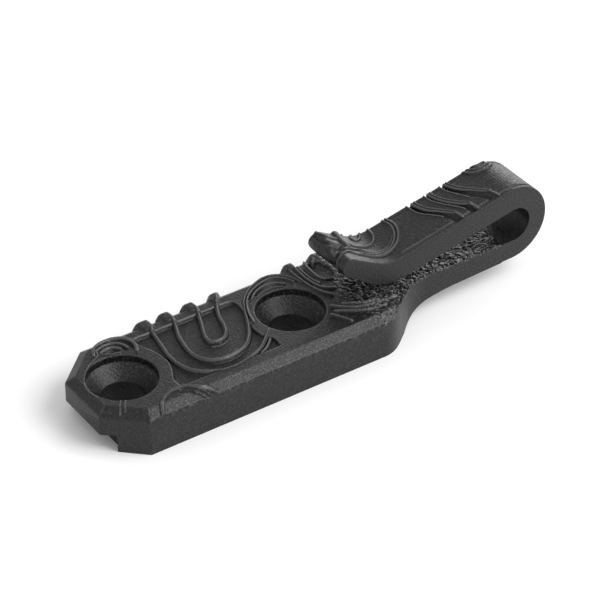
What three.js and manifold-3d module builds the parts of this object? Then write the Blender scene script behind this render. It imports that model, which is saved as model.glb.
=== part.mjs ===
// Spring clip holdback: a screw-down plate whose narrow tail bends back over it as a hairpin spring.
// Millimetres. +X runs from the heel to the bow, +Y across, +Z up. The origin is on the foot plane,
// midway between the two screw holes.

import * as THREE from 'three';
import * as BufferGeometryUtils from 'three/addons/utils/BufferGeometryUtils.js';
import Module from 'manifold-3d';

const wasm = await Module();
wasm.setup();

// ---- Driving dimensions ----

const plate = {
  width: 14.7,
  height: 5.4,
  straightLength: 35,      // heel face to the start of the neck
  cornerAlong: 4.1,        // heel corner cut, along X
  cornerAcross: 3.8,       // heel corner cut, along Y
  bevelWidth: 1.1,
  bevelDrop: 0.8,
};

const screws = {
  heelMargin: 5.1,         // heel face to the first hole
  spacing: 22,
  headDiameter: 8,
  headRecess: 0.9,         // straight wall above the countersink
  shankDiameter: 5,
  coneHalfAngle: THREE.MathUtils.degToRad(43),
};

const heelNotch = {
  width: 9.7,
  height: 2.15,
  depth: 2,
};

const neck = {
  length: 9,
  shoulderPull: 3.2,       // how far each end of the neck curve runs straight before it turns
  armPull: 4.8,
};

const arms = {
  width: 6.7,
  fixedThickness: 2.55,
  freeThickness: 2.85,
  reach: 11.85,            // end of the neck to the middle of the bow
  mouthGap: 0.95,          // the free arm's lowest point above the plate
};

const footRamp = {
  beforeNeckEnd: 4.6,      // the foot ends this far before the neck does
  length: 8.1,
  undercut: 2.5,           // height of the arm's underside where the ramp ends
  footPull: new THREE.Vector2(1.2, 1.3),   // how the ramp leaves the foot
  armPull: new THREE.Vector2(4.3, 0.3),    // how it runs into the arm
};

const bow = {
  innerRadius: 2.15,
  crownThickness: 2.4,
};

const tip = {
  undersideStraight: 15.5, // bow to the start of the lift, along the underside
  topStraight: 15.3,
  undersideRadius: 6.5,
  topRadius: 4.8,
  undersideLift: THREE.MathUtils.degToRad(38),
  topLift: THREE.MathUtils.degToRad(29),
  noseAlong: 3.7,          // lifted stretch of the top face
  noseRadius: 1.05,
};

const jointGap = 0.3;      // slit between neighbouring bodies
const overcut = 1;         // how far a cutter runs past the faces that it cuts
const weldDistance = 1e-4;
const roundSegments = 72;
const curveSegments = 16;
const bowSegments = 36;

// ---- Places worked out from the dimensions ----

const originX = screws.heelMargin + screws.spacing / 2;
const heelX = -originX;
const neckStartX = heelX + plate.straightLength;
const neckEndX = neckStartX + neck.length;
const bowOuterRadius = bow.innerRadius + (arms.fixedThickness + arms.freeThickness) / 2;
const bowX = neckEndX + arms.reach;
const bowZ = plate.height - arms.fixedThickness + bowOuterRadius;
const bowInnerX = bowX + bowOuterRadius - bow.innerRadius - bow.crownThickness;
const bowInnerZ = plate.height + bow.innerRadius;
const screwXs = [heelX + screws.heelMargin, heelX + screws.heelMargin + screws.spacing];
const freeTilt = tiltForMouthGap();

// The free arm slopes down from the bow just enough to leave the mouth gap under its lowest point.
function tiltForMouthGap() {
  const across = bow.innerRadius + tip.undersideRadius;
  const along = tip.undersideStraight;
  const rise = arms.mouthGap + tip.undersideRadius - bow.innerRadius;
  return Math.acos(rise / Math.hypot(across, along)) - Math.atan2(along, across);
}

// ---- Solids and meshes ----

function solidOf(geometry) {
  const bare = geometry.clone();
  bare.deleteAttribute('normal');
  bare.deleteAttribute('uv');
  const welded = BufferGeometryUtils.mergeVertices(bare, weldDistance);
  return new wasm.Manifold(new wasm.Mesh({
    numProp: 3,
    vertProperties: new Float32Array(welded.attributes.position.array),
    triVerts: new Uint32Array(welded.index.array),
  }));
}

function geometryOf(solid) {
  const { vertProperties, triVerts } = solid.getMesh();
  const geometry = new THREE.BufferGeometry();
  geometry.setAttribute('position', new THREE.BufferAttribute(vertProperties, 3));
  geometry.setIndex(new THREE.BufferAttribute(triVerts, 1));
  geometry.computeVertexNormals();
  return geometry;
}

// An outline drawn in X and Z, made solid across Y and centred on Y = 0.
function acrossY(shape, width, segments = curveSegments) {
  const options = { depth: width, bevelEnabled: false, curveSegments: segments };
  const geometry = new THREE.ExtrudeGeometry(shape, options);
  geometry.rotateX(Math.PI / 2);
  geometry.translate(0, width / 2, 0);
  return solidOf(geometry);
}

// An outline drawn in X and Y, made solid upwards from the foot plane.
function upwards(shape, height) {
  return solidOf(new THREE.ExtrudeGeometry(shape, { depth: height, bevelEnabled: false, curveSegments }));
}

// A countersunk screw hole: a short straight recess, the cone, and the shank's hole through the foot.
function screwHoleCutter(x) {
  const headRadius = screws.headDiameter / 2;
  const shankRadius = screws.shankDiameter / 2;
  const recessZ = plate.height - screws.headRecess;
  const coneZ = recessZ - (headRadius - shankRadius) / Math.tan(screws.coneHalfAngle);
  const profile = [
    new THREE.Vector2(0, -overcut),
    new THREE.Vector2(shankRadius, -overcut),
    new THREE.Vector2(shankRadius, coneZ),
    new THREE.Vector2(headRadius, recessZ),
    new THREE.Vector2(headRadius, plate.height + overcut),
    new THREE.Vector2(0, plate.height + overcut),
  ];
  const geometry = new THREE.LatheGeometry(profile, roundSegments);
  geometry.rotateX(Math.PI / 2);
  geometry.translate(x, 0, 0);
  return solidOf(geometry);
}

// ---- Mount plate ----

// Top view: cut heel corners, straight sides, an S-curved neck and the narrow fixed arm.
function planShape() {
  const half = plate.width / 2;
  const armHalf = arms.width / 2;
  const shape = new THREE.Shape();
  shape.moveTo(heelX, -half + plate.cornerAcross);
  shape.lineTo(heelX + plate.cornerAlong, -half);
  shape.lineTo(neckStartX, -half);
  shape.bezierCurveTo(
    neckStartX + neck.shoulderPull, -half,
    neckEndX - neck.armPull, -armHalf,
    neckEndX, -armHalf,
  );
  shape.lineTo(bowX, -armHalf);
  shape.lineTo(bowX, armHalf);
  shape.lineTo(neckEndX, armHalf);
  shape.bezierCurveTo(
    neckEndX - neck.armPull, armHalf,
    neckStartX + neck.shoulderPull, half,
    neckStartX, half,
  );
  shape.lineTo(heelX + plate.cornerAlong, half);
  shape.lineTo(heelX, half - plate.cornerAcross);
  shape.closePath();
  return shape;
}

// Side view: flat foot, a ramp under the neck, and the fixed arm's underside running on to the bow.
function sideShape() {
  const rampX = neckEndX - footRamp.beforeNeckEnd;
  const rampEndX = rampX + footRamp.length;
  const shape = new THREE.Shape();
  shape.moveTo(heelX, 0);
  shape.lineTo(rampX, 0);
  shape.bezierCurveTo(
    rampX + footRamp.footPull.x, footRamp.footPull.y,
    rampEndX - footRamp.armPull.x, footRamp.undercut - footRamp.armPull.y,
    rampEndX, footRamp.undercut,
  );
  shape.lineTo(bowX, plate.height - arms.fixedThickness);
  shape.lineTo(bowX, plate.height);
  shape.lineTo(heelX, plate.height);
  shape.closePath();
  return shape;
}

// A wedge that takes the top edge off one straight side. inward points from the edge into the plate.
function bevelCutter(x, y, inward, length) {
  const run = plate.bevelWidth;
  const drop = plate.bevelDrop;
  const shape = new THREE.Shape();
  shape.moveTo(-run, plate.height - 2 * drop);
  shape.lineTo(2 * run, plate.height + drop);
  shape.lineTo(-run, plate.height + drop);
  shape.closePath();
  const geometry = new THREE.ExtrudeGeometry(shape, { depth: length, bevelEnabled: false });
  geometry.translate(0, 0, -length / 2);
  const up = new THREE.Vector3(0, 0, 1);
  const along = new THREE.Vector3().crossVectors(inward, up);
  geometry.applyMatrix4(new THREE.Matrix4().makeBasis(inward, up, along).setPosition(x, y, 0));
  return solidOf(geometry);
}

function bevelCutters() {
  const half = plate.width / 2;
  const sideLength = plate.straightLength + neck.length;
  const sideX = heelX + sideLength / 2;
  const cornerX = heelX + plate.cornerAlong / 2;
  const cornerY = half - plate.cornerAcross / 2;
  const cornerLength = 2 * Math.hypot(plate.cornerAlong, plate.cornerAcross);
  const nearCorner = new THREE.Vector3(plate.cornerAcross, plate.cornerAlong, 0).normalize();
  const farCorner = new THREE.Vector3(plate.cornerAcross, -plate.cornerAlong, 0).normalize();
  return [
    bevelCutter(heelX, 0, new THREE.Vector3(1, 0, 0), plate.width),
    bevelCutter(cornerX, -cornerY, nearCorner, cornerLength),
    bevelCutter(cornerX, cornerY, farCorner, cornerLength),
    bevelCutter(sideX, -half, new THREE.Vector3(0, 1, 0), sideLength),
    bevelCutter(sideX, half, new THREE.Vector3(0, -1, 0), sideLength),
  ];
}

// The square relief under the heel, between the two foot rails.
function heelNotchCutter() {
  const length = heelNotch.depth + overcut;
  const height = heelNotch.height + overcut;
  const geometry = new THREE.BoxGeometry(length, heelNotch.width, height);
  geometry.translate(heelX - overcut + length / 2, 0, heelNotch.height - height / 2);
  return solidOf(geometry);
}

function mountPlate() {
  let solid = upwards(planShape(), plate.height).intersect(acrossY(sideShape(), plate.width + overcut));
  for (const cutter of bevelCutters()) {
    solid = solid.subtract(cutter);
  }
  for (const x of screwXs) {
    solid = solid.subtract(screwHoleCutter(x));
  }
  return solid.subtract(heelNotchCutter());
}

// ---- Hairpin bow ----

function bowShape() {
  const endAngle = Math.PI / 2 + freeTilt;
  const outerStart = Math.asin(jointGap / bowOuterRadius) - Math.PI / 2;
  const innerStartX = bowX + jointGap;
  const shape = new THREE.Shape();
  shape.absarc(bowX, bowZ, bowOuterRadius, outerStart, endAngle, false);
  shape.absarc(bowInnerX, bowInnerZ, bow.innerRadius, endAngle, -Math.PI / 2, true);
  shape.lineTo(innerStartX, plate.height);
  shape.closePath();
  return shape;
}

function springBow() {
  return acrossY(bowShape(), arms.width, bowSegments);
}

// ---- Free arm ----

// The arm leaves the bow square to its radius, runs straight, then lifts in an arc to its nose.
function armShape() {
  const tilt = freeTilt;
  const back = new THREE.Vector2(-Math.cos(tilt), -Math.sin(tilt));
  const normal = new THREE.Vector2(-Math.sin(tilt), Math.cos(tilt));
  const topRoot = new THREE.Vector2(bowX, bowZ).addScaledVector(normal, bowOuterRadius);
  const lowRoot = new THREE.Vector2(bowInnerX, bowInnerZ).addScaledVector(normal, bow.innerRadius);
  const topStart = topRoot.clone().addScaledVector(back, jointGap);
  const lowStart = lowRoot.clone().addScaledVector(back, jointGap);
  const topBend = topRoot.clone().addScaledVector(back, tip.topStraight);
  const lowBend = lowRoot.clone().addScaledVector(back, tip.undersideStraight);
  const topCentre = topBend.clone().addScaledVector(normal, tip.topRadius);
  const lowCentre = lowBend.clone().addScaledVector(normal, tip.undersideRadius);
  const bendAngle = tilt - Math.PI / 2;
  const topEnd = -Math.PI / 2 - tip.topLift;
  const lowEnd = -Math.PI / 2 - tip.undersideLift;
  const lifted = new THREE.Vector2(-Math.cos(tip.topLift), Math.sin(tip.topLift));
  const noseTop = topCentre.clone()
    .add(new THREE.Vector2(Math.cos(topEnd), Math.sin(topEnd)).multiplyScalar(tip.topRadius))
    .addScaledVector(lifted, tip.noseAlong);
  const inwards = new THREE.Vector2(-Math.sin(tip.topLift), -Math.cos(tip.topLift));
  const nose = noseTop.clone().addScaledVector(inwards, tip.noseRadius);
  const shape = new THREE.Shape();
  shape.moveTo(lowStart.x, lowStart.y);
  shape.lineTo(topStart.x, topStart.y);
  shape.lineTo(topBend.x, topBend.y);
  shape.absarc(topCentre.x, topCentre.y, tip.topRadius, bendAngle, topEnd, true);
  shape.absarc(nose.x, nose.y, tip.noseRadius, Math.PI / 2 - tip.topLift, lowEnd, false);
  shape.absarc(lowCentre.x, lowCentre.y, tip.undersideRadius, lowEnd, bendAngle, false);
  shape.closePath();
  return shape;
}

function springArm() {
  return acrossY(armShape(), arms.width);
}

// ---- Assembly ----

function mouldedNylon() {
  return new THREE.MeshStandardMaterial({ color: 0x1c1c1d, roughness: 0.62, metalness: 0 });
}

function addPart(name, solid) {
  const mesh = new THREE.Mesh(geometryOf(solid), mouldedNylon());
  mesh.name = name;
  clip.add(mesh);
}

const clip = new THREE.Group();
addPart('mount_plate', mountPlate());
addPart('spring_bow', springBow());
addPart('spring_arm', springArm());

export default clip;
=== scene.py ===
# %% [markdown]
# A screw-down spring clip that holds a shutter open, moulded in one shot from black nylon.
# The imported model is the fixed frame: it says where everything is and what moves. Everything
# below is in millimetres while it is drawn, and turns to metres when it becomes a mesh.

# %% The frame
import math
import bpy
import numpy as np
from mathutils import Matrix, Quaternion, Vector


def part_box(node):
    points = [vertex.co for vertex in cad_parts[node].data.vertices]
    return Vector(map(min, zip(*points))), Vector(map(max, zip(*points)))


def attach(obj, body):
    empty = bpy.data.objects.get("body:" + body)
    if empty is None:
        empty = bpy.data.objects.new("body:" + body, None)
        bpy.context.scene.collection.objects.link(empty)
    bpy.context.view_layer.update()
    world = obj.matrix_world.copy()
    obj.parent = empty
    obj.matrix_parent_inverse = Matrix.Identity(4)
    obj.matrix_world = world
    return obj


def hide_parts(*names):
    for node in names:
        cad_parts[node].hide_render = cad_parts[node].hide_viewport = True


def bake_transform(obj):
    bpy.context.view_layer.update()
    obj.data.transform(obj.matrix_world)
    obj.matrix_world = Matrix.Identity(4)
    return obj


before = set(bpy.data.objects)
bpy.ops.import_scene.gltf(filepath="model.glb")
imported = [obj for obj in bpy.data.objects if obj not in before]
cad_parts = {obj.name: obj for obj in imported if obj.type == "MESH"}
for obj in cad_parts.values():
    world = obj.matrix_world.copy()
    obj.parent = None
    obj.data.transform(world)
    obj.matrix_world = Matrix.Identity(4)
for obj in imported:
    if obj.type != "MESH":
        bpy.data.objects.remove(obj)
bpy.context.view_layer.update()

MM = 0.001

# %% [markdown]
# The plate's outline and the bow's arcs are the same as in the frame. The outer sizes are read
# from it, and the sizes inside the outline are named here, so that the new skin lands on the
# old solid.

# %% Sizes read from the frame
plate_low, plate_high = (np.array(corner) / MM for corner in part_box("mount_plate"))
bow_low, bow_high = (np.array(corner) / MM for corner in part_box("spring_bow"))
HEEL_X = plate_low[0]
HALF_WIDTH = plate_high[1]
PLATE_TOP = plate_high[2]
ARM_HALF = bow_high[1]
BOW_OUTER = 4.85
BOW_X = bow_high[0] - BOW_OUTER
BOW_Z = bow_low[2] + BOW_OUTER
print("heel", round(HEEL_X, 2), "half width", round(HALF_WIDTH, 2), "bow", round(BOW_X, 2), round(BOW_Z, 2))

# %% Sizes inside the outline
HOLE_XS = (-11.0, 11.0)
HOLE_RADIUS = 4.0
CORNER_ALONG = 4.1
CORNER_ACROSS = 3.8
BEVEL_WIDTH = 1.1
BEVEL_DROP = 0.8
NECK_START = 18.9
NECK_LENGTH = 9.0
FIXED_THICKNESS = 2.55
BOW_INNER = 2.15
CROWN = 2.4
EDGE_ROUND = 0.13          # a moulded edge is never sharp
ARM_CUT_X = 38.4           # where the plate piece hands over to the bow piece
FREE_CUT = 0.6             # the same on the free arm, measured back from the bow

# %% [markdown]
# A curve through a few given points is the pencil of this job. Every ridge and every pocket of the moulded
# pattern is one such curve, and the skin is raised or sunk by how far each of its points is from the curve.

# %% The pencil
def bezier(points, count=120):
    """A cubic Bezier as an array of points."""
    a, b, c, d = np.array(points, float)
    t = np.linspace(0, 1, count)[:, None]
    return a * (1 - t) ** 3 + 3 * b * t * (1 - t) ** 2 + 3 * c * t * t * (1 - t) + d * t ** 3


def through(points, closed=False, steps=14):
    """A smooth curve through given points (Catmull-Rom)."""
    p = np.array(points, float)
    if closed:
        p = np.vstack([p[-1], p, p[:2]])
    else:
        p = np.vstack([2 * p[0] - p[1], p, 2 * p[-1] - p[-2]])
    t = np.linspace(0, 1, steps, endpoint=False)[:, None]
    pieces = []
    for a, b, c, d in zip(p, p[1:], p[2:], p[3:]):
        pieces.append(0.5 * (2 * b + (c - a) * t + (2 * a - 5 * b + 4 * c - d) * t * t
                             + (3 * b - a - 3 * c + d) * t ** 3))
    return np.vstack(pieces + [p[-2:-1]])


def distance(curve, x, y, reach=1.5):
    """How far each point is from a curve. Points farther off than reach get reach."""
    result = np.full(x.shape, reach)
    low, high = curve.min(0) - reach, curve.max(0) + reach
    near = np.flatnonzero((x > low[0]) & (x < high[0]) & (y > low[1]) & (y < high[1]))
    start, step = curve[:-1], np.diff(curve, axis=0)
    length = np.maximum((step ** 2).sum(1), 1e-12)
    for part in np.array_split(near, max(1, len(near) // 4000)):
        p = np.stack([x[part], y[part]], -1)[:, None]
        t = np.clip(((p - start) * step).sum(-1) / length, 0, 1)
        gap = p - start - t[..., None] * step
        result[part] = np.minimum(reach, np.sqrt((gap ** 2).sum(-1)).min(1))
    return result


def inside(curve, x, y):
    """True where a point lies inside a closed curve."""
    result = np.zeros(x.shape, bool)
    low, high = curve.min(0), curve.max(0)
    near = np.flatnonzero((x > low[0]) & (x < high[0]) & (y > low[1]) & (y < high[1]))
    crossings = np.zeros(len(near), int)
    for (ax, ay), (bx, by) in zip(curve, np.roll(curve, -1, axis=0)):
        if ay != by:
            spans = (ay > y[near]) != (by > y[near])
            crossings += spans & (x[near] < ax + (y[near] - ay) * (bx - ax) / (by - ay))
    result[near] = crossings % 2 == 1
    return result


def ease(t):
    """0 to 1 with soft ends."""
    t = np.clip(t, 0, 1)
    return t * t * (3 - 2 * t)

# %% [markdown]
# Three strokes make the whole pattern. A ridge is a rounded rib with steep flanks, laid on top
# of what is there. A pocket is a flat floor with a steep wall. A groove is a soft scratch.

# %% Strokes
RIDGE_FALL = 0.2
BLEND = 0.025              # radius of the fillet at the foot of a ridge


def ridge(z, x, y, points, crest, half, closed=False):
    """Lays a rib on the surface z. crest is its top, half its half width where it falls away."""
    d = distance(through(points, closed), x, y, reach=4 * half)
    rib = crest - RIDGE_FALL * (d / half) ** 4
    return np.where(d < 4 * half, BLEND * np.logaddexp(z / BLEND, rib / BLEND), z)


def band(z, x, y, points, crest, half=0.11, shoulder=0.25):
    """Lays a thin bead on a low, wider shoulder, so a band shows three fine edges."""
    z = ridge(z, x, y, points, crest - 0.12, shoulder)
    return ridge(z, x, y, points, crest, half)


def pocket(z, x, y, points, floor, wall=0.22):
    """Sinks the inside of a closed curve to the floor."""
    curve = through(points, closed=True)
    depth = np.where(inside(curve, x, y), distance(curve, x, y, reach=wall), 0)
    return z + (np.minimum(z, floor) - z) * ease(depth / wall)


def groove(z, x, y, points, depth, half, closed=False):
    """Scratches a soft channel along a curve."""
    d = distance(through(points, closed), x, y, reach=4 * half)
    return z - depth * np.exp(-(d / half) ** 2)

# %% [markdown]
# The plate seen from above: cut heel corners, straight sides and an S-curved neck. Its top edge
# has a straight bevel, and all its edges are a little rounded, as a mould gives them.

# %% Plan and side lines
NECK_END = NECK_START + NECK_LENGTH
neck_line = bezier([(NECK_START, HALF_WIDTH), (NECK_START + 3.2, HALF_WIDTH),
                    (NECK_END - 4.8, ARM_HALF), (NECK_END, ARM_HALF)])
RAMP_START, RAMP_END = 23.3, 31.4
ramp = bezier([(RAMP_START, 0), (RAMP_START + 1.2, 1.3), (RAMP_END - 4.3, 2.2), (RAMP_END, 2.5)])
under_line = np.vstack([[(HEEL_X, 0)], ramp, [(BOW_X, PLATE_TOP - FIXED_THICKNESS)]])


def half_width(x):
    """Half of the clip's width at x."""
    corner = HALF_WIDTH - CORNER_ACROSS * np.clip(1 - (x - HEEL_X) / CORNER_ALONG, 0, 1)
    return np.minimum(corner, np.interp(x, neck_line[:, 0], neck_line[:, 1]))


def underside(x):
    """Height of the underside at x: flat foot, ramp, then the arm."""
    return np.interp(x, under_line[:, 0], under_line[:, 1])


def edge_gap(x, y):
    """How far inside the cut corners, the heel and the straight sides a point is."""
    to_heel = x - HEEL_X
    to_side = HALF_WIDTH - np.abs(y)
    to_corner = (to_heel * CORNER_ACROSS + to_side * CORNER_ALONG - CORNER_ALONG * CORNER_ACROSS)
    return np.minimum(np.minimum(to_heel, to_side), to_corner / math.hypot(CORNER_ALONG, CORNER_ACROSS))


def rounded(gap, radius=EDGE_ROUND):
    """How much a rounded edge drops at a distance from the edge."""
    reach = np.clip(radius - gap, 0, radius)
    return radius - np.sqrt(radius ** 2 - reach ** 2)

# %% [markdown]
# The pattern on the plate: three nested U shapes open to the far edge and run over it as round knobs, raised
# bands ring both screw holes, and the floor between them is sunk by half a millimetre. The places are listed
# along and across the plate.

# %% The plate's pattern
FLOOR = -0.46
MAIN_POCKET = [(-6.35, 5.2), (-6.55, 4.3), (-6.2, 3.2), (-5.7, 2.0), (-5.45, 0.5), (-5.5, -0.8),
               (-6.0, -2.2), (-6.55, -3.2), (-6.6, -4.3), (-6.15, -4.85), (-3, -4.9), (2, -4.9),
               (6.1, -4.9), (6.6, -4.3),
               (6.6, -3.1), (5.95, -2.2), (5.75, -1.0), (5.75, 0.2), (6.2, 1.7), (6.6, 2.9), (6.75, 4.3),
               (6.3, 5.15), (4, 5.25), (0, 5.25), (-4, 5.25)]
OUTER_U = [(-3.95, 5.2), (-4.2, 3.6), (-4.5, 2.0), (-4.75, 0.3), (-4.6, -1.5), (-4.0, -3.0), (-2.9, -4.1),
           (-1.2, -4.95), (0.6, -5.1), (2.4, -4.7), (4.2, -4.0), (5.6, -2.9), (6.9, -1.7)]
OUTER_U_LOWER = [(3.9, -4.75), (5.0, -4.15), (6.1, -3.2)]
MIDDLE_U = [(-0.95, 5.4), (-1.4, 4.2), (-1.9, 3.0), (-2.25, 1.5), (-2.45, 0.0), (-2.3, -1.3), (-1.5, -2.6),
            (-0.3, -3.2), (0.9, -3.3), (2.3, -3.0), (3.5, -2.4), (4.6, -1.2), (5.3, -0.1), (6.15, 1.5),
            (6.95, 3.1), (7.7, 4.4), (9.0, 5.6), (10.4, 6.35), (11.9, 6.75), (13.2, 6.45), (14.1, 5.6),
            (14.65, 4.5), (14.9, 3.4)]
MIDDLE_U_TWIN = [(-1.9, -1.4), (-1.1, -2.3), (0.0, -2.75), (1.2, -2.75), (2.4, -2.3)]
INNER_U = [(2.2, 5.4), (1.7, 4.2), (1.2, 3.0), (0.65, 1.8), (0.35, 0.7), (0.55, 0.0), (1.3, -0.25),
           (2.1, -0.05), (2.8, 0.7), (3.3, 1.8), (3.6, 3.0), (4.1, 4.3), (4.9, 5.8)]
INNER_U_TWIN = [(0.25, -0.45), (1.2, -0.7), (2.2, -0.5)]
HOLE_RING = [(6.3, 0.4), (6.7, 1.9), (7.3, 3.2), (8.1, 4.35), (9.3, 5.35), (10.7, 5.95), (12.0, 6.2),
             (13.0, 5.9), (13.8, 5.1), (14.25, 4.1)]
RING_GROOVES = [
    [(6.4, 1.4), (6.9, 2.6), (7.7, 3.9), (9.1, 5.2), (10.6, 6.15), (12.0, 6.45), (13.1, 6.15), (14.0, 5.2),
     (14.5, 4.1)],
    [(8.4, 4.5), (9.6, 5.3), (11.0, 5.75), (12.5, 5.6), (13.4, 4.9)],
    [(9.3, 4.45), (10.6, 4.95), (12.0, 4.85), (13.0, 4.3)],
]
HOLE_ARCH = [(8.5, 4.1), (9.6, 4.95), (11.0, 5.4), (12.3, 5.2), (13.2, 4.5)]
HOLE_LIP = [(9.2, 4.0), (10.4, 4.5), (11.7, 4.5), (12.7, 4.1)]
KNOBS = [  # crest line over the rim band, then how far left its round end reaches and half its width
    ([(-3.95, 5.2), (-3.6, 6.2), (-3.6, 7.4)], 0.5, 0.8),
    ([(-0.95, 5.4), (-0.85, 6.2), (-0.95, 7.4)], 0.35, 0.68),
    ([(2.2, 5.4), (2.4, 6.2), (2.3, 7.4)], 0.4, 0.68),
    ([(4.9, 5.8), (5.3, 6.5), (5.75, 7.4)], 0.25, 0.55),
    ([(15.75, 5.4), (15.75, 6.4), (15.75, 7.4)], 0.3, 0.6),
    ([(18.1, 5.9), (18.6, 6.5), (18.9, 7.4)], -0.4, 0.8),
]
HEEL_ARCH = [(-11.6, 4.9), (-11.1, 5.9), (-9.9, 6.5), (-8.5, 6.5), (-7.4, 6.0), (-6.9, 5.2), (-6.8, 4.2),
             (-7.2, 3.1)]
HEEL_ARCH_2 = [(-10.9, 5.65), (-9.8, 5.95), (-8.7, 5.75), (-7.95, 5.1), (-7.7, 4.2)]
HEEL_ARCH_3 = [(-10.75, 5.05), (-9.8, 5.35), (-8.9, 5.1), (-8.45, 4.5)]
HEEL_GROOVES = [
    [(-11.2, 5.1), (-10.5, 5.9), (-9.8, 6.2), (-8.6, 6.15), (-7.6, 5.6), (-7.25, 4.9), (-7.2, 4.0)],
    [(-10.7, 5.35), (-9.8, 5.65), (-8.8, 5.4), (-8.2, 4.8), (-8.0, 4.1)],
]
HEEL_SPUR = [(-14.1, 2.5), (-13.3, 3.4), (-12.4, 4.05), (-11.4, 4.6), (-11.0, 5.2)]
HEEL_LIP = [(-10.8, 4.7), (-9.9, 4.2), (-9.0, 3.95)]
NECK_RIDGES = [
    [(15.15, 7.2), (15.05, 5.5), (15.1, 4.0), (15.25, 2.6), (15.6, 1.2), (16.1, 0.2), (16.6, -0.4)],
    [(15.75, 5.4), (15.75, 4.2), (15.85, 3.0), (16.1, 1.8), (16.7, 1.0), (17.5, 0.5)],
    [(16.15, 6.2), (16.1, 4.6), (16.2, 3.2), (16.5, 2.2)],
    [(17.35, 6.6), (17.1, 5.8), (17.0, 4.6), (17.0, 3.4), (17.4, 2.5), (18.3, 2.1)],
]
BOWL = [(17.5, 6.1), (18.3, 6.2), (19.1, 5.6), (19.4, 4.4), (19.2, 3.2), (18.5, 2.5), (17.6, 2.7),
        (17.25, 3.7), (17.3, 5.0)]
HEEL_BOWL = [(-10.7, 4.9), (-9.7, 5.2), (-8.7, 5.0), (-8.3, 4.4), (-9.0, 4.05), (-10.2, 4.3)]
BOWL_FLOOR = -0.42
NECK_GROOVES = [  # line, depth, half width
    ([(16.4, 5.3), (16.42, 4.0), (16.6, 2.6)], 0.25, 0.16),
    ([(15.45, 4.8), (15.5, 3.6), (15.65, 2.4)], 0.2, 0.13),
]
FAN = [
    [(15.1, -2.0), (15.9, -2.8), (17.0, -3.6), (18.2, -4.1), (20.0, -4.4), (22.2, -4.6)],
    [(14.9, -3.1), (15.9, -3.7), (17.2, -4.5), (18.6, -5.0), (20.4, -5.2)],
    [(16.4, -2.4), (17.4, -3.0), (18.5, -3.6), (20.2, -4.0)],
    [(14.2, -3.4), (14.8, -4.4), (15.4, -5.6)],
]
SCOOP_ARCH = [(-10.4, -7.4), (-9.9, -6.35), (-9.0, -5.45), (-8.1, -5.0), (-7.2, -4.85), (-6.3, -5.1),
              (-5.5, -5.7), (-4.8, -6.3), (-4.0, -6.75), (-3.5, -7.3)]
SCOOP_GROOVE = [(-6.9, -5.55), (-6.0, -6.1), (-5.2, -6.6), (-4.6, -7.3)]
CORNER_RIBS = [[(-13.1, -3.2), (-13.8, -4.1), (-14.3, -4.9)], [(-12.7, -3.5), (-13.3, -4.3), (-13.7, -5.0)]]


def plate_pattern(x, y):
    """Height of the plate's top over the flat face, in millimetres."""
    bevel = -BEVEL_DROP * np.clip(1 - edge_gap(x, y) / BEVEL_WIDTH, 0, 1)
    z = pocket(bevel, x, y, MAIN_POCKET, FLOOR)
    z = pocket(z, x, y, BOWL, BOWL_FLOOR)
    z = pocket(z, x, y, HEEL_BOWL, BOWL_FLOOR, 0.2)
    for line, depth, half in NECK_GROOVES:
        z = groove(z, x, y, line, depth, half)
    z = band(z, x, y, OUTER_U, 0.12)
    z = ridge(z, x, y, OUTER_U_LOWER, 0.02, 0.16)
    z = band(z, x, y, MIDDLE_U, 0.16)
    z = ridge(z, x, y, MIDDLE_U_TWIN, -0.27, 0.13)
    z = band(z, x, y, INNER_U, 0.14)
    z = ridge(z, x, y, INNER_U_TWIN, -0.3, 0.13)
    for line in RING_GROOVES:
        z = groove(z, x, y, line, 0.28, 0.16)
    z = ridge(z, x, y, HOLE_RING, 0.17, 0.15)
    z = ridge(z, x, y, HOLE_ARCH, 0.15, 0.15)
    z = ridge(z, x, y, HOLE_LIP, 0.1, 0.14)
    for line, shift, half in KNOBS:
        z = ridge(z, x, y, line, 0.22, 0.2)
        (mx, my), (ex, ey) = line[-2:]
        z = ridge(z, x, y, [(mx - shift, my + 0.2), (ex - shift, ey)], 0.25, half)
    for line in HEEL_GROOVES:
        z = groove(z, x, y, line, 0.3, 0.18)
    z = ridge(z, x, y, HEEL_ARCH, 0.22, 0.22)
    z = ridge(z, x, y, HEEL_ARCH_2, 0.14, 0.16)
    z = ridge(z, x, y, HEEL_ARCH_3, 0.1, 0.15)
    z = ridge(z, x, y, HEEL_SPUR, 0.12, 0.15)
    z = ridge(z, x, y, HEEL_LIP, 0.1, 0.14)
    for line in NECK_RIDGES:
        z = ridge(z, x, y, line, 0.2, 0.15)
    for line in FAN:
        z = ridge(z, x, y, line, 0.2, 0.18)
    z = groove(z, x, y, SCOOP_GROOVE, 0.25, 0.3)
    z = ridge(z, x, y, SCOOP_ARCH, bevel + 0.2, 0.25)
    for line in CORNER_RIBS:
        z = ridge(z, x, y, line, bevel + 0.08, 0.12)
    return z

# %% [markdown]
# Under the free arm the plate isn't smooth: the mould was left with a coarse, glass-bead grain.
# It is real shape, small bumps a third of a millimetre apart, so it is put in the mesh. The
# bumps come from seeded random heights on a square net, read between its knots.

# %% Grain as shape
def net_noise(x, y, spacing, seed):
    """Smooth random heights from -1 to 1 on a net of that spacing."""
    heights = np.random.default_rng(seed).uniform(-1, 1, (256, 256))
    u, v = x / spacing + 128, y / spacing + 128
    i, j = np.floor(u).astype(int), np.floor(v).astype(int)
    fu, fv = ease(u - i), ease(v - j)
    near, far = (heights[i % 256, (j + k) % 256] * (1 - fu)
                 + heights[(i + 1) % 256, (j + k) % 256] * fu for k in (0, 1))
    return near * (1 - fv) + far * fv


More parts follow.
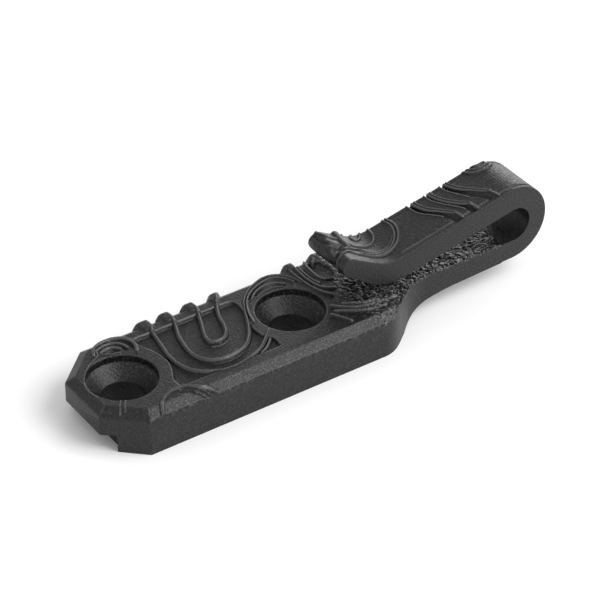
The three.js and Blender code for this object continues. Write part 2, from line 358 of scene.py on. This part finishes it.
MOUTH_START = 16.5         # the coarse grain begins here
MOUTH_FADE = 3             # and is at full strength this much further on
KNOB_ROUND = 0.3           # the ribs' round ends at the far edge
HOLE_EDGE = 0.16           # the rounding round a screw hole's mouth


def mouth_grain(x, y):
    """Bumps of the coarse grain, fading in under the free arm."""
    share = ease((x - MOUTH_START) / MOUTH_FADE)
    return share * (0.07 * net_noise(x, y, 0.31, 4) + 0.06 * net_noise(x + y, x - y, 0.3, 9))


def plate_top(x, y):
    """The plate's finished top."""
    side_gap = half_width(x) - np.abs(y)
    z = PLATE_TOP + plate_pattern(x, y) + mouth_grain(x, y)
    z = z - rounded(np.minimum(side_gap, x - HEEL_X))
    proud = ease((z - PLATE_TOP + BEVEL_DROP) / BEVEL_DROP)
    z = z - proud * rounded(side_gap, KNOB_ROUND) * (y > 0)
    for hole_x in HOLE_XS:
        z = z - rounded(np.hypot(x - hole_x, y) - HOLE_RADIUS, HOLE_EDGE)
    return z

# %% [markdown]
# Every piece starts as a grid. It is extruded twice, once for a thin band just under the rim and once for
# the body, which gives a closed slab with clean walls. Then each layer of the slab is put in place by its
# own function. The bottom needs no small squares, so its grid is deleted and the hole is bridged and filled.
# Two attributes are painted on the top layer for the material: "crest" says where ribs stand up, and
# "coarse" where the mould's grain is rougher. From the first the material paints a highlight on the crests
# and shade at the feet of the ribs, and from the second it paints light specks as glints.

# %% The slab
RIM_BAND = 0.3


def deselect_all():
    for thing in bpy.context.selected_objects:
        thing.select_set(False)


def select_by(piece, mode, test):
    """Selects the vertices, edges or faces whose every corner passes the test, and enters edit mode."""
    mesh = piece.data
    place = np.empty(3 * len(mesh.vertices))
    mesh.vertices.foreach_get("co", place)
    chosen = test(place.reshape(-1, 3))
    bpy.ops.object.mode_set(mode="EDIT")
    bpy.ops.mesh.select_mode(type="VERT")
    bpy.ops.mesh.select_all(action="DESELECT")
    bpy.ops.object.mode_set(mode="OBJECT")
    mesh.vertices.foreach_set("select", chosen)
    bpy.ops.object.mode_set(mode="EDIT")
    bpy.ops.mesh.select_mode(type=mode)


def crests(height, reach=2):
    """How far each knot of a net stands above its neighbours: crests are positive, feet negative."""
    wide = np.pad(height, reach, mode="edge")
    middle = slice(reach, -reach)
    around = (wide[2 * reach:, middle] + wide[:-2 * reach, middle]
              + wide[middle, 2 * reach:] + wide[middle, :-2 * reach]) / 4
    return height - around


def slab(name, height, layers, coarse=None):
    """Makes a closed slab. height is the relief on its net of columns and rows, and each of the
    three layer functions takes column and row numbers and returns the points of that layer."""
    columns, rows = height.shape
    deselect_all()
    bpy.ops.mesh.primitive_grid_add(x_subdivisions=columns - 1, y_subdivisions=rows - 1, size=2)
    piece = bpy.context.object
    piece.name = name
    piece.data.name = name
    bpy.ops.object.mode_set(mode="EDIT")
    bpy.ops.mesh.select_all(action="SELECT")
    for _ in range(2):
        bpy.ops.mesh.extrude_region_move(TRANSFORM_OT_translate={"value": (0, 0, -1)})
    bpy.ops.object.mode_set(mode="OBJECT")
    select_by(piece, "FACE", lambda p: p[:, 2] < -1.5)
    bpy.ops.mesh.delete(type="FACE")
    for end in (-1, 1):
        bpy.ops.object.mode_set(mode="OBJECT")
        select_by(piece, "FACE", lambda p: (abs(p[:, 0] - end) < 1e-4) & (p[:, 2] < -0.5))
        bpy.ops.mesh.delete(type="FACE")
    bpy.ops.object.mode_set(mode="OBJECT")
    select_by(piece, "EDGE", lambda p: (abs(p[:, 1]) > 1 - 1e-4) & (p[:, 2] < -1.5))
    bpy.ops.mesh.bridge_edge_loops()
    bpy.ops.mesh.select_all(action="SELECT")
    bpy.ops.mesh.fill_holes(sides=0)
    bpy.ops.object.mode_set(mode="OBJECT")
    place = np.empty(3 * len(piece.data.vertices))
    piece.data.vertices.foreach_get("co", place)
    place = place.reshape(-1, 3)
    column = np.rint((place[:, 0] + 1) / 2 * (columns - 1)).astype(int)
    row = np.rint((place[:, 1] + 1) / 2 * (rows - 1)).astype(int)
    layer = np.rint(-place[:, 2]).astype(int)
    for number, shape in enumerate(layers):
        mine = layer == number
        place[mine] = shape(column[mine], row[mine]) * MM
    piece.data.vertices.foreach_set("co", place.ravel())
    painted = {"crest": crests(height), "coarse": np.zeros(height.shape) if coarse is None else coarse}
    for paint, values in painted.items():
        on_top = np.where(layer == 0, values[column, row], 0).astype(np.float32)
        piece.data.attributes.new(paint, "FLOAT", "POINT").data.foreach_set("value", on_top)
    bpy.ops.object.mode_set(mode="EDIT")
    bpy.ops.mesh.select_all(action="SELECT")
    bpy.ops.mesh.remove_doubles(threshold=1e-7)
    bpy.ops.mesh.normals_make_consistent(inside=False)
    bpy.ops.object.mode_set(mode="OBJECT")
    print(name, len(piece.data.polygons), "faces")
    return piece


def below(top, under):
    """Points a little way down from the top layer towards the one under it."""
    step = under - top
    thickness = np.linalg.norm(step, axis=1)[:, None]
    return top + step * np.minimum(RIM_BAND / np.maximum(thickness, 1e-9), 0.3)

# %% [markdown]
# The plate. Its rows crowd together at the rim, where the edge is rounded, and one row lies on
# the bevel's crease. Its columns are closest where the pattern is.

# %% Plate lines
RIM_STEPS = [0, 0.03, 0.07]
to_crease = np.linspace(EDGE_ROUND, BEVEL_WIDTH, 9)
to_middle = np.linspace(BEVEL_WIDTH, HALF_WIDTH, 72)[1:]
from_edge = np.concatenate([RIM_STEPS, to_crease, to_middle])
row_share = np.concatenate([from_edge / HALF_WIDTH - 1, (1 - from_edge / HALF_WIDTH)[-2::-1]])
PATTERN_END = 23.0
FINE_STEP = 0.08
column_x = np.concatenate([HEEL_X + np.array(RIM_STEPS), HEEL_X + to_crease,
                           np.arange(HEEL_X + BEVEL_WIDTH + FINE_STEP, PATTERN_END, FINE_STEP),
                           np.linspace(PATTERN_END, ARM_CUT_X, 110)])

plate_x = column_x[:, None] + 0 * row_share
plate_y = half_width(column_x)[:, None] * row_share
plate_z = plate_top(plate_x.ravel(), plate_y.ravel()).reshape(plate_x.shape)

# this share also sets how strongly light specks are painted there as glints
ROUGHER = 0.3              # share of the coarse grain on the near bevel and in the screw holes
on_near_bevel = (plate_y < BEVEL_WIDTH - HALF_WIDTH) & (plate_x > HEEL_X + CORNER_ALONG)
plate_coarse = np.maximum(ease((plate_x - MOUTH_START) / MOUTH_FADE), ROUGHER * on_near_bevel)


def plate_layer_top(column, row):
    return np.stack([plate_x[column, row], plate_y[column, row], plate_z[column, row]], -1)


def plate_layer_under(column, row):
    return np.stack([plate_x[column, row], plate_y[column, row], underside(plate_x[column, row])], -1)


def plate_layer_band(column, row):
    return below(plate_layer_top(column, row), plate_layer_under(column, row))


plate = slab("clip_plate", plate_z, (plate_layer_top, plate_layer_band, plate_layer_under),
             coarse=plate_coarse)

# %% [markdown]
# The two countersunk holes and the relief under the heel are cut with Boolean modifiers. A
# cutter for a hole is a small circle that is extruded and scaled ring by ring: through hole,
# cone, straight recess.

# %% Holes and heel notch
SHANK_RADIUS = 2.5
HEAD_RECESS = 0.9
CONE_ANGLE = math.radians(43)


def hole_cutter(x):
    """A countersink cutter, from below the foot to above the plate."""
    recess_z = PLATE_TOP - HEAD_RECESS
    cone_z = recess_z - (HOLE_RADIUS - SHANK_RADIUS) / math.tan(CONE_ANGLE)
    deselect_all()
    bpy.ops.mesh.primitive_circle_add(vertices=128, radius=SHANK_RADIUS * MM, fill_type="NGON",
                                      location=(x * MM, 0, -MM))
    cutter = bpy.context.object
    bpy.ops.object.mode_set(mode="EDIT")
    bpy.ops.mesh.select_all(action="SELECT")
    low = -1
    for z, grow in ((cone_z, 1), (recess_z, HOLE_RADIUS / SHANK_RADIUS), (PLATE_TOP + 2, 1)):
        bpy.ops.mesh.extrude_region_move(TRANSFORM_OT_translate={"value": (0, 0, (z - low) * MM)})
        bpy.ops.transform.resize(value=(grow, grow, 1), center_override=(x * MM, 0, 0))
        low = z
    bpy.ops.mesh.select_all(action="SELECT")
    bpy.ops.mesh.normals_make_consistent(inside=False)
    bpy.ops.object.mode_set(mode="OBJECT")
    return cutter


def cut(piece, cutter):
    """Takes the cutter out of the piece and throws the cutter away."""
    deselect_all()
    piece.select_set(True)
    bpy.context.view_layer.objects.active = piece
    boolean = piece.modifiers.new("cut", "BOOLEAN")
    boolean.operation = "DIFFERENCE"
    boolean.solver = "MANIFOLD"
    boolean.object = cutter
    bpy.ops.object.modifier_apply(modifier=boolean.name)
    bpy.data.objects.remove(cutter)
    print("cut", piece.name, len(piece.data.polygons), "faces")


for hole_x in HOLE_XS:
    cut(plate, hole_cutter(hole_x))

NOTCH_WIDTH, NOTCH_HEIGHT, NOTCH_DEPTH = 9.7, 2.15, 2.0
deselect_all()
bpy.ops.mesh.primitive_cube_add(size=2 * MM, location=(HEEL_X * MM, 0, 0))
notch = bpy.context.object
bpy.ops.object.mode_set(mode="EDIT")
bpy.ops.transform.resize(value=(NOTCH_DEPTH, NOTCH_WIDTH / 2, NOTCH_HEIGHT),
                         center_override=(HEEL_X * MM, 0, 0))
bpy.ops.object.mode_set(mode="OBJECT")
cut(plate, notch)

# %% [markdown]
# Where a cut just misses a vertex, it leaves a triangle too thin to see, mostly on the edges of
# the holes. Merging points that nearly coincide closes these up, so that the mesh is watertight.
# The walls of the cones then get their rougher grain and its painted glints, and the edges of the holes are
# marked sharp.

# %% Clean cuts
SLIVER = 0.001
JUST_INSIDE = 0.01
ON_CIRCLE = 0.004
deselect_all()
plate.select_set(True)
bpy.context.view_layer.objects.active = plate
bpy.ops.object.mode_set(mode="EDIT")
bpy.ops.mesh.select_all(action="SELECT")
bpy.ops.mesh.remove_doubles(threshold=SLIVER * MM)
bpy.ops.mesh.dissolve_degenerate(threshold=SLIVER * MM)
bpy.ops.object.mode_set(mode="OBJECT")
print("plate after closing slivers:", len(plate.data.polygons), "faces")

places = np.empty(3 * len(plate.data.vertices))
plate.data.vertices.foreach_get("co", places)
places = places.reshape(-1, 3) / MM
coarse = np.empty(len(places), dtype=np.float32)
plate.data.attributes["coarse"].data.foreach_get("value", coarse)
for hole_x in HOLE_XS:
    from_axis = np.hypot(places[:, 0] - hole_x, places[:, 1])
    coarse[(from_axis < HOLE_RADIUS + JUST_INSIDE) & (from_axis > SHANK_RADIUS + JUST_INSIDE)] = ROUGHER
plate.data.attributes["coarse"].data.foreach_set("value", coarse)

for hole_x in HOLE_XS:
    for radius in (HOLE_RADIUS, SHANK_RADIUS):
        select_by(plate, "EDGE", lambda p: abs(np.hypot(p[:, 0] - hole_x * MM, p[:, 1])
                                               - radius * MM) < ON_CIRCLE * MM)
        bpy.ops.mesh.mark_sharp()
        bpy.ops.object.mode_set(mode="OBJECT")

# %% [markdown]
# The bow and the free arm are one ribbon. Its outer line runs from under the fixed arm round the
# bow and along the top of the free arm to the nose; its inner line runs the same way inside. The
# lines are straight runs and arcs, joined end to end.

# %% Ribbon lines
def arc(centre, radius, start, end, count=60):
    """Points on an arc, angles in radians."""
    angle = np.linspace(start, end, count)
    return np.stack([centre[0] + radius * np.cos(angle), centre[1] + radius * np.sin(angle)], -1)


def evenly(line, spacing=None, count=None):
    """The same line with evenly spaced points, and how far along it each one is."""
    along = np.concatenate([[0], np.cumsum(np.hypot(*np.diff(line, axis=0).T))])
    keep = np.concatenate([[True], np.diff(along) > 1e-9])
    along, line = along[keep], line[keep]
    count = count or int(math.ceil(along[-1] / spacing)) + 1
    places = np.linspace(0, along[-1], count)
    return np.stack([np.interp(places, along, line[:, k]) for k in (0, 1)], -1), places


MOUTH_GAP = 0.95
TIP = dict(low_straight=15.5, top_straight=15.3, low_radius=6.5, top_radius=4.8,
           low_lift=math.radians(38), top_lift=math.radians(29), nose_along=3.7, nose_radius=1.05)
rise = MOUTH_GAP + TIP["low_radius"] - BOW_INNER
across = BOW_INNER + TIP["low_radius"]
TILT = math.acos(rise / math.hypot(across, TIP["low_straight"])) - math.atan2(TIP["low_straight"], across)
back = np.array([-math.cos(TILT), -math.sin(TILT)])
normal = np.array([-math.sin(TILT), math.cos(TILT)])
bow_centre = np.array([BOW_X, BOW_Z])
inner_centre = np.array([BOW_X + BOW_OUTER - BOW_INNER - CROWN, PLATE_TOP + BOW_INNER])
top_root = bow_centre + normal * BOW_OUTER
low_root = inner_centre + normal * BOW_INNER
low_cut = FREE_CUT + (top_root - low_root) @ back
print("free arm tilts down", round(math.degrees(TILT), 2), "degrees")

quarter = math.pi / 2
bow_outer = np.vstack([[(ARM_CUT_X, underside(ARM_CUT_X))],
                       arc(bow_centre, BOW_OUTER, -quarter, quarter + TILT),
                       [top_root + back * FREE_CUT]])
bow_inner = np.vstack([[(ARM_CUT_X, PLATE_TOP)],
                       arc(inner_centre, BOW_INNER, -quarter, quarter + TILT),
                       [low_root + back * low_cut]])

top_bend = top_root + back * TIP["top_straight"]
low_bend = low_root + back * TIP["low_straight"]
top_turn = arc(top_bend + normal * TIP["top_radius"], TIP["top_radius"],
               TILT - quarter, -quarter - TIP["top_lift"])
low_turn = arc(low_bend + normal * TIP["low_radius"], TIP["low_radius"],
               TILT - quarter, -quarter - TIP["low_lift"])
lift = TIP["top_lift"]
nose_top = top_turn[-1] + TIP["nose_along"] * np.array([-math.cos(lift), math.sin(lift)])
nose = nose_top + TIP["nose_radius"] * np.array([-math.sin(lift), -math.cos(lift)])
nose_start, nose_end = quarter - lift, 3 * quarter - TIP["low_lift"]
nose_middle = math.radians(218)
arm_top = np.vstack([[top_root + back * FREE_CUT], top_turn,
                     arc(nose, TIP["nose_radius"], nose_start, nose_middle, 40)])
arm_low = np.vstack([[low_root + back * low_cut], low_turn,
                     arc(nose, TIP["nose_radius"], nose_end, nose_middle, 16)])

# %% [markdown]
# The free arm's pattern, along the arm from the bow and across it: three pairs of slanting
# ribs with a wide groove beside each, round arcs near the tip, small arcs by the bow, and a
# thin bead along both edges that a fine groove sets off.

# %% The arm's pattern
SLANTS = [  # the rib's twin, the groove, the rib, and its tab at the near edge
    dict(twin=[(9.7, 3.4), (9.6, 2.0), (9.3, 1.0), (8.6, 0.0), (7.8, -1.2)],
         gutter=[(9.2, 3.4), (9.1, 2.2), (8.8, 1.0), (8.0, -0.3), (7.2, -1.6), (6.9, -2.7)],
         rib=[(8.8, 3.5), (8.7, 2.3), (8.3, 1.2), (7.6, 0.2), (6.9, -0.8), (6.35, -1.6)],
         tab=[(6.35, -1.7), (6.2, -2.9)]),
    dict(twin=[(7.2, 3.4), (7.1, 2.0), (6.7, 1.0), (6.2, 0.0), (5.6, -1.0), (5.2, -1.9)],
         gutter=[(6.9, 3.4), (6.8, 2.2), (6.45, 1.2), (5.9, 0.0), (5.2, -1.1), (4.75, -2.0), (4.6, -2.7)],
         rib=[(6.5, 3.5), (6.45, 2.4), (6.1, 1.3), (5.6, 0.3), (4.9, -0.7), (4.2, -1.5)],
         tab=[(4.2, -1.7), (4.05, -2.9)]),
    dict(twin=[(5.0, 3.4), (4.8, 2.0), (4.4, 1.0), (4.0, 0.1), (3.6, -0.7)],
         gutter=[(4.6, 3.4), (4.35, 2.2), (3.85, 1.1), (3.2, -0.2), (2.4, -1.3), (1.9, -2.4)],
         rib=[(4.2, 3.6), (3.95, 2.5), (3.45, 1.4), (2.75, 0.4), (2.0, -0.6), (1.35, -1.45)],
         tab=[(1.3, -1.6), (1.0, -2.9)]),
]
TIP_ARCS = [
    [(17.3, 3.7), (18.1, 2.7), (17.8, 2.1), (17.0, 2.4), (16.3, 3.5)],
    [(19.1, 3.3), (19.8, 1.6), (19.5, 0.7), (18.4, 0.5), (17.1, 0.6), (16.05, 1.1), (15.35, 2.1),
     (15.25, 3.4)],
    [(21.4, -0.3), (20.3, -0.4), (19.0, -0.3), (18.0, -0.6), (16.8, -0.9), (15.7, -0.9), (14.7, -0.5),
     (13.9, 0.2)],
    [(22.3, -1.4), (21.3, -1.2), (20.5, -1.6), (18.9, -1.7), (17.4, -1.75), (15.9, -1.6), (14.5, -1.1),
     (13.5, -0.3), (12.8, 0.8), (12.5, 2.0), (12.8, 3.5)],
    [(19.5, -1.2), (18.0, -1.2), (16.2, -1.3), (15.0, -0.95), (14.0, -0.2), (13.3, 0.8), (12.95, 2.0),
     (13.2, 3.4)],
]
TIP_HUMP = [(20.2, 3.6), (20.35, 2.4), (20.6, 1.2), (20.6, 0.3)]
LIP_RIB = [(23.1, 3.4), (22.8, 2.5), (22.05, 1.85), (20.9, 1.7), (20.2, 1.3), (19.9, 0.8)]
LIP_GROOVE = [(23.5, 3.0), (23.4, 1.4), (22.8, 0.55), (21.8, 0.15)]
LOBE_GAP = [(22.2, -0.3), (23.0, -0.7), (23.9, -1.2), (25.2, -1.6)]
NEAR_LOBE = [(25.0, -2.6), (24.1, -2.2), (23.3, -1.95), (22.3, -1.55), (21.1, -1.1)]
BOW_ARCS = [
    [(1.5, 3.3), (0.9, 2.5), (0.0, 2.1), (-1.0, 2.0), (-2.0, 2.4)],
    [(1.0, 3.4), (0.5, 2.9), (-0.2, 2.6), (-1.0, 2.6), (-1.7, 2.9)],
    [(0.3, 3.4), (-0.3, 3.1), (-1.0, 3.1), (-1.5, 3.3)],
]
BEAD = 0.62                # distance of the fine groove from the edge


def arm_pattern(s, y):
    """Height of the relief on the ribbon's outer face, s along it from the bow."""
    z = np.zeros(s.shape)
    for side in (-1, 1):
        edge = side * (ARM_HALF - BEAD)
        z = groove(z, s, y, [(-20, edge), (0, edge), (14.5, edge)], 0.2 if side < 0 else 0.05, 0.12)
    for slant in SLANTS:
        z = groove(z, s, y, slant["gutter"], 0.42, 0.3)
        z = ridge(z, s, y, slant["twin"], 0.1, 0.13)
        z = ridge(z, s, y, slant["rib"], 0.14, 0.3)
        z = groove(z, s, y, slant["rib"], 0.16, 0.1)
        z = ridge(z, s, y, slant["tab"], 0.2, 0.2)
    for line in TIP_ARCS:
        z = ridge(z, s, y, line, 0.19, 0.15)
    z = ridge(z, s, y, TIP_HUMP, 0.42, 0.42)
    z = groove(z, s, y, LIP_GROOVE, 0.3, 0.25)
    z = ridge(z, s, y, LIP_RIB, 0.2, 0.16)
    z = z + 0.2 * np.exp(-((s - 24.0) / 1.2) ** 2 - ((y - 2.0) / 1.3) ** 2)
    z = groove(z, s, y, LOBE_GAP, 0.6, 0.55)
    z = ridge(z, s, y, NEAR_LOBE, 0.1, 0.17)
    for line in BOW_ARCS:
        z = ridge(z, s, y, line, 0.17, 0.2)
    return z


ribbon_rows = np.concatenate([RIM_STEPS, np.linspace(EDGE_ROUND, ARM_HALF, 44)])
ribbon_y = np.concatenate([ribbon_rows - ARM_HALF, (ARM_HALF - ribbon_rows)[-2::-1]])


def normals_of(line, outwards):
    """Unit normals of a line in the XZ plane."""
    run = np.gradient(line, axis=0)
    run = run / np.hypot(*run.T)[:, None]
    return outwards * np.stack([-run[:, 1], run[:, 0]], -1)


def ribbon(name, outer, inner, start, spacing, way):
    """A slab between an outer and an inner line. start is how far along the arm it begins, and
    way is 1 if it runs on towards the tip and -1 if it runs back round the bow."""
    line, along = evenly(outer, spacing=spacing)
    other, _ = evenly(inner, count=len(line))
    s = start + way * along
    up = normals_of(line, -way)

    net_s, net_y = s[:, None] + 0 * ribbon_y, ribbon_y + 0 * s[:, None]
    relief = arm_pattern(net_s.ravel(), net_y.ravel()).reshape(net_s.shape)
    height = relief - rounded(ARM_HALF - np.abs(net_y))

    def top(column, row):
        x, z = (line[column] + up[column] * height[column, row][:, None]).T
        return np.stack([x, ribbon_y[row], z], -1)

    def under(column, row):
        y = ribbon_y[row]
        x, z = other[column].T
        return np.stack([x, y, z], -1)

    def band(column, row):
        return below(top(column, row), under(column, row))

    return slab(name, height, (top, band, under))


bow = ribbon("clip_bow", bow_outer[::-1], bow_inner[::-1], FREE_CUT, 0.14, -1)
arm = ribbon("clip_free_arm", arm_top, arm_low, FREE_CUT, 0.09, 1)

# %% [markdown]
# The material is glass-filled nylon from a mould that was bead-blasted. Nylon is a little shinier than its
# grain lets it look: the grain breaks the reflection into small soft glints, and where the grain is coarse
# more glints are painted into the colour as light specks. One noise drives the grain's colour, the painted
# glints and its bump, so that specks and pits lie on each other. The crests of the ribs get a painted
# highlight and their feet get painted shade.

# %% Material
def linear(hex_colour):
    """An sRGB hex colour as the linear RGBA that Blender works in."""
    channels = [int(hex_colour[k:k + 2], 16) / 255 for k in (1, 3, 5)]
    return [c / 12.92 if c <= 0.04045 else ((c + 0.055) / 1.055) ** 2.4 for c in channels] + [1]


def add(tree, kind, links=None, **settings):
    """Adds one node, sets it up and links its inputs."""
    node = tree.nodes.new(kind)
    for key, value in settings.items():
        setattr(node, key, value)
    for key, value in (links or {}).items():
        if isinstance(value, bpy.types.NodeSocket):
            tree.links.new(value, node.inputs[key])
        else:
            node.inputs[key].default_value = value
    return node


GRAIN_MM = 0.24            # the blasted mould's pits, drawn coarser than the real ones to show
CLOUD_MM = 2.5             # slow changes in gloss across the part


def bead_blasted_nylon():
    """Black PA6 with glass fibre, moulded in a bead-blasted tool: matt, with fine glints that are partly
    painted into the colour as light specks. Crests get a painted highlight and more gloss, and the feet of
    the ribs get painted shade."""
    material = bpy.data.materials.new("bead-blasted black nylon")
    material.use_nodes = True
    tree = material.node_tree
    tree.nodes.clear()
    place = add(tree, "ShaderNodeTexCoord").outputs["Object"]
    grain = add(tree, "ShaderNodeTexNoise", {"Vector": place, "Scale": 1 / (GRAIN_MM * MM),
                                             "Detail": 2.0, "Roughness": 0.6}).outputs["Fac"]
    cloud = add(tree, "ShaderNodeTexNoise", {"Vector": place, "Scale": 1 / (CLOUD_MM * MM),
                                             "Detail": 4.0}).outputs["Fac"]
    crest = add(tree, "ShaderNodeAttribute", attribute_name="crest").outputs["Fac"]
    coarse = add(tree, "ShaderNodeAttribute", attribute_name="coarse").outputs["Fac"]
    # painted highlight: where a rib's crest stands up, the colour turns light grey for the light its rounded
    # edge catches; the same mask also lowers the roughness
    painted_crest_highlight = add(tree, "ShaderNodeMapRange", {"Value": crest, "From Min": 0.02, "From Max": 0.07}).outputs[0]
    # painted shade: where the surface sits below its neighbours, at the feet of the ribs and in creases, the
    # colour turns near black
    painted_foot_shade = add(tree, "ShaderNodeMapRange", {"Value": crest, "From Min": -0.02, "From Max": -0.08}).outputs[0]
    speck = add(tree, "ShaderNodeMapRange", {"Value": grain, "From Min": 0.44, "From Max": 0.64}).outputs[0]
    ground = add(tree, "ShaderNodeMix", {"Factor": speck, "A": linear("#050505"), "B": linear("#222223")},
                 data_type="RGBA").outputs[2]
    # painted glints: where the grain is coarse, some grain specks are coloured light grey (#68686B) in place
    # of the glints of light on rough facets
    painted_glint_mask = add(tree, "ShaderNodeMapRange", {"Value": grain, "From Min": 0.53, "From Max": 0.68}).outputs[0]
    painted_glints = add(tree, "ShaderNodeMath", {0: painted_glint_mask, 1: coarse}, operation="MULTIPLY").outputs[0]
    ground = add(tree, "ShaderNodeMix", {"Factor": painted_glints, "A": ground, "B": linear("#68686B")},
                 data_type="RGBA").outputs[2]
    # painted highlight on the crests, #48484A
    with_painted_highlight = add(tree, "ShaderNodeMix", {"Factor": painted_crest_highlight, "A": ground, "B": linear("#48484A")},
                  data_type="RGBA").outputs[2]
    # painted shade at the feet of the ribs, #030303
    with_painted_shade = add(tree, "ShaderNodeMix", {"Factor": painted_foot_shade, "A": with_painted_highlight, "B": linear("#030303")},
                 data_type="RGBA").outputs[2]
    matt = add(tree, "ShaderNodeMapRange", {"Value": cloud, "To Min": 0.36, "To Max": 0.5}).outputs[0]
    soft = add(tree, "ShaderNodeMath", {0: painted_crest_highlight, 1: -0.12, 2: matt}, operation="MULTIPLY_ADD").outputs[0]
    gloss = add(tree, "ShaderNodeMath", {0: coarse, 1: -0.12, 2: soft}, operation="MULTIPLY_ADD").outputs[0]
    bump = add(tree, "ShaderNodeBump", {"Height": grain, "Strength": 0.9,
                                        "Distance": 0.09 * MM}).outputs["Normal"]
    shader = add(tree, "ShaderNodeBsdfPrincipled", {"Base Color": with_painted_shade, "Roughness": gloss, "IOR": 1.53,
                                                    "Specular IOR Level": 0.36,
                                                    "Normal": bump})
    add(tree, "ShaderNodeOutputMaterial", {"Surface": shader.outputs[0]})
    return material


nylon = bead_blasted_nylon()
for piece in (plate, bow, arm):
    piece.data.materials.clear()
    piece.data.materials.append(nylon)
    deselect_all()
    piece.select_set(True)
    bpy.context.view_layer.objects.active = piece
    bpy.ops.object.shade_smooth_by_angle(angle=math.radians(72))

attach(plate, "plate")
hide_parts("mount_plate")
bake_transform(bow)
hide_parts("spring_bow")
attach(arm, "arm")
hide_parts("spring_arm")

# %% [markdown]
# A plain white floor and a bright, even room. A large soft box stands in front, and a small low
# one behind the bow gives its round back a sheen.

# %% Stage
deselect_all()
bpy.ops.mesh.primitive_plane_add(size=4, location=(0, 0, 0))
floor = bpy.context.object
floor.name = "floor"
paper = bpy.data.materials.new("white paper sweep")
paper.use_nodes = True
paper.node_tree.nodes["Principled BSDF"].inputs["Base Color"].default_value = linear("#F4F4F4")
paper.node_tree.nodes["Principled BSDF"].inputs["Roughness"].default_value = 0.9
paper.node_tree.nodes["Principled BSDF"].inputs["Specular IOR Level"].default_value = 0.1
floor.data.materials.append(paper)

world = bpy.data.worlds.new("white room")
bpy.context.scene.world = world
world.use_nodes = True
world.node_tree.nodes["Background"].inputs["Color"].default_value = linear("#FFFFFF")
world.node_tree.nodes["Background"].inputs["Strength"].default_value = 0.75


def soft_box(name, direction, distance_m, size, power):
    """A square area light that faces the clip."""
    deselect_all()
    bpy.ops.object.light_add(type="AREA")
    light = bpy.context.object
    light.name = name
    light.data.size = size
    light.data.energy = power
    aim = Vector(direction).normalized()
    light.location = Vector((0.015, 0, 0)) + aim * distance_m
    light.rotation_mode = "QUATERNION"
    light.rotation_quaternion = aim.to_track_quat("Z", "Y")
    return light


soft_box("front soft box", (0.46, -0.56, 0.68), 0.6, 0.45, 3.3)
soft_box("back soft box", (0.73, 0.665, 0.16), 0.6, 0.2, 0.7)

# %% [markdown]
# A long lens, far off and above the heel's near corner. away points from the clip to the camera,
# and the small roll is turned about that line.

# %% Camera
AZIMUTH, ELEVATION, ROLL = math.radians(-34.67), math.radians(36.07), math.radians(0.24)
DISTANCE = 304.6
target = Vector((17.09, 6.96, 0)) * MM
away = Vector((math.sin(AZIMUTH) * math.cos(ELEVATION),
               -math.cos(AZIMUTH) * math.cos(ELEVATION),
               math.sin(ELEVATION)))
deselect_all()
bpy.ops.object.camera_add(location=target + away * DISTANCE * MM)
camera = bpy.context.object
camera.rotation_mode = "QUATERNION"
camera.rotation_quaternion = away.to_track_quat("Z", "Y")
camera.rotation_quaternion.rotate(Quaternion(away, ROLL))
camera.data.sensor_width = 36
camera.data.lens = 157.98
camera.data.clip_start, camera.data.clip_end = 0.01, 10
camera.data.dof.use_dof = False
bpy.context.scene.camera = camera
bpy.context.scene.view_settings.view_transform = "Standard"
